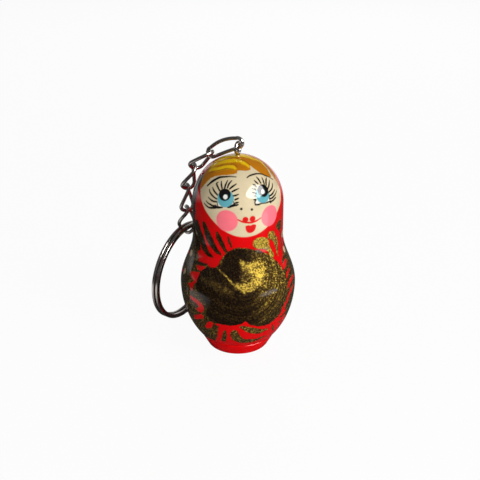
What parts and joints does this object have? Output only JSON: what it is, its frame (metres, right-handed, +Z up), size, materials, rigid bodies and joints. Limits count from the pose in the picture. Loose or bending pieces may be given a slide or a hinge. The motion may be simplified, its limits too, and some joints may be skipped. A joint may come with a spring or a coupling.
{
  "type": "nesting doll on a key ring",
  "caption": "Turned wooden nesting doll with lift-apart halves and smaller dolls inside, carried on a screw eye, a curb chain and a split key ring.",
  "frame": {"origin": "centre of the foot that the outer doll stands on", "axes": "+Z up along the turning axis, the painted face towards -Y, the chain to the left and back"},
  "size_m": [0.0433, 0.0392, 0.0656],
  "materials": {
    "red_lacquer": "glossy lacquer over red, gold and black paint",
    "nested_lacquer": "glossy lacquer over paint",
    "dark_nickel": "dark nickel plate"
  },
  "bodies": {
    "outer_lower": {"outer_lower": "red_lacquer"},
    "outer_upper": {"outer_upper": "red_lacquer", "screw_eye": "dark_nickel"},
    "middle_lower": {"middle_lower": "nested_lacquer"},
    "middle_upper": {"middle_upper": "nested_lacquer"},
    "inner_doll": {"inner_doll": "nested_lacquer"},
    "oval_loop": {"oval_loop": "dark_nickel"},
    "chain_link_1": {"chain_link_1": "dark_nickel"},
    "chain_link_2": {"chain_link_2": "dark_nickel"},
    "chain_link_3": {"chain_link_3": "dark_nickel"},
    "chain_link_4": {"chain_link_4": "dark_nickel"},
    "split_ring": {"split_ring": "dark_nickel"}
  },
  "joints": [
    {"name": "lift_out_middle_doll", "type": "slide", "parent": "outer_lower", "child": "middle_lower", "axis": [0, 0, 1], "range_m": [0, 0.026]},
    {"name": "lift_out_inner_doll", "type": "slide", "parent": "middle_lower", "child": "inner_doll", "axis": [0, 0, 1], "range_m": [0, 0.018]},
    {"name": "open_middle_doll", "type": "slide", "parent": "inner_doll", "child": "middle_upper", "axis": [0, 0, 1], "range_m": [0, 0.018]},
    {"name": "open_outer_doll", "type": "slide", "parent": "middle_upper", "child": "outer_upper", "axis": [0, 0, 1], "range_m": [0, 0.028]},
    {"name": "loop_on_eye", "type": "hinge", "parent": "outer_upper", "child": "oval_loop", "pos_m": [0, 0, 0.06365], "axis": [0.5592, 0.829, 0], "range_deg": [0, 100]},
    {"name": "link_1_on_loop", "type": "hinge", "parent": "oval_loop", "child": "chain_link_1", "pos_m": [-0.00716, 0.00483, 0.05958], "axis": [0.5592, 0.829, 0], "range_deg": [0, 35]},
    {"name": "link_2_on_link_1", "type": "hinge", "parent": "chain_link_1", "child": "chain_link_2", "pos_m": [-0.0115, 0.00775, 0.05492], "axis": [0.5592, 0.829, 0], "range_deg": [0, 45]},
    {"name": "link_3_on_link_2", "type": "hinge", "parent": "chain_link_2", "child": "chain_link_3", "pos_m": [-0.01338, 0.00903, 0.04831], "axis": [0.5592, 0.829, 0], "range_deg": [0, 40]},
    {"name": "link_4_on_link_3", "type": "hinge", "parent": "chain_link_3", "child": "chain_link_4", "pos_m": [-0.01359, 0.00916, 0.04131], "axis": [0.5592, 0.829, 0], "range_deg": [0, 30]},
    {"name": "ring_on_link_4", "type": "hinge", "parent": "chain_link_4", "child": "split_ring", "pos_m": [-0.01375, 0.00928, 0.03561], "axis": [0.6947, 0.7193, 0], "range_deg": [0, 70]}
  ]
}
